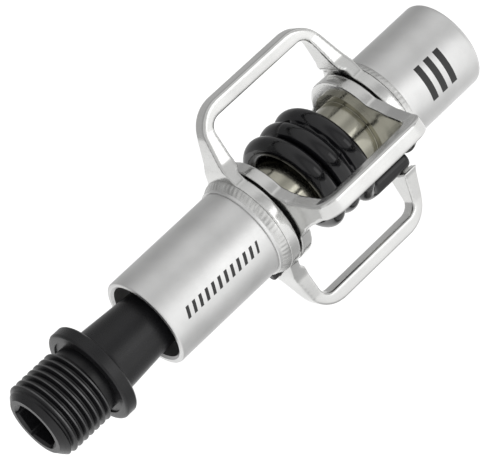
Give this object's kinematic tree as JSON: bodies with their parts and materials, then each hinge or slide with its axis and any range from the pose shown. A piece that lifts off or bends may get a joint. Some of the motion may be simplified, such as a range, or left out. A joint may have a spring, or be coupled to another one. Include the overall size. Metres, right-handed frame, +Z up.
{
  "type": "clipless pedal",
  "caption": "Clipless bicycle pedal: threaded spindle, slim tubular body, and a crossed pair of sprung wing loops that grip a shoe cleat on any side.",
  "frame": {"origin": "centre of the spindle's shoulder face, where the pedal seats on the crank arm", "axes": "+X along the spindle away from the crank arm, +Z up through the upper loop of the fixed wing frame at rest, +Y towards the back loop of the moving frame"},
  "size_m": [0.1006, 0.0424, 0.0428],
  "materials": {
    "spindle_steel": "black satin finish",
    "bearing_steel": "ground and polished",
    "cage_brass": "stamped",
    "shield_steel": "pressed",
    "nut_steel": "zinc plated",
    "insert_plastic": "moulded",
    "blasted_steel": "bead-blasted",
    "polished_sleeve": "polished",
    "wing_steel": "satin polished",
    "weld_steel": "as welded",
    "bush_plastic": "moulded",
    "pin_steel": "black oxide",
    "spring_steel": "black semi-gloss coating",
    "seal_rubber": "moulded",
    "glide_plastic": "moulded",
    "cap_aluminium": "anodised"
  },
  "bodies": {
    "spindle": {"spindle": "spindle_steel", "bearing_inner_race": "bearing_steel", "nut_washer": "nut_steel", "lock_nut": "nut_steel", "nut_insert": "insert_plastic"},
    "pedal_body": {"inboard_tube": "blasted_steel", "outboard_tube": "blasted_steel", "body_sleeve": "polished_sleeve", "outboard_journal": "polished_sleeve", "outer_wing_frame": "wing_steel", "wing_pin": "pin_steel", "inboard_weld_bead": "weld_steel", "outboard_weld_bead": "weld_steel", "inboard_thrust_washer": "bush_plastic", "outboard_thrust_washer": "bush_plastic", "glide_bush": "glide_plastic", "spindle_seal": "seal_rubber", "bearing_outer_race": "bearing_steel", "bearing_shields": "shield_steel", "end_cap": "cap_aluminium", "cap_oring": "seal_rubber"},
    "ball_cage": {"bearing_balls": "bearing_steel", "bearing_cage": "cage_brass"},
    "outboard_spring_arm": {"outboard_spring_half": "spring_steel"},
    "inner_wings": {"inner_wing_frame": "wing_steel", "inboard_wing_bush": "polished_sleeve", "outboard_wing_bush": "polished_sleeve"},
    "inboard_spring_arm": {"inboard_spring_half": "spring_steel"}
  },
  "joints": [
    {"name": "pedal_spin", "type": "hinge", "parent": "spindle", "child": "pedal_body", "pos_m": [0, 0, 0], "axis": [1, 0, 0], "continuous": true},
    {"name": "cage_spin", "type": "hinge", "parent": "spindle", "child": "ball_cage", "pos_m": [0.0771, 0, 0], "axis": [1, 0, 0], "continuous": true},
    {"name": "wing_open_forward", "type": "hinge", "parent": "pedal_body", "child": "outboard_spring_arm", "pos_m": [0.0543, 0, 0], "axis": [-1, 0, 0], "range_deg": [0, 25], "stiffness_Nm_per_rad": 9.1, "springref_deg": -11.46, "deforming": ["outboard_spring_half"]},
    {"name": "wing_open_back", "type": "hinge", "parent": "outboard_spring_arm", "child": "inner_wings", "pos_m": [0.0543, 0, 0], "axis": [-1, 0, 0], "range_deg": [-25, 0], "stiffness_Nm_per_rad": 9.1, "springref_deg": 11.46},
    {"name": "inboard_arm_follow", "type": "hinge", "parent": "pedal_body", "child": "inboard_spring_arm", "pos_m": [0.0543, 0, 0], "axis": [-1, 0, 0], "range_deg": [-25, 0], "deforming": ["inboard_spring_half"]}
  ],
  "couplings": [
    {"joint": "cage_spin", "follows": "pedal_spin", "ratio": 0.6053},
    {"joint": "inboard_arm_follow", "follows": "wing_open_back", "ratio": 1}
  ]
}
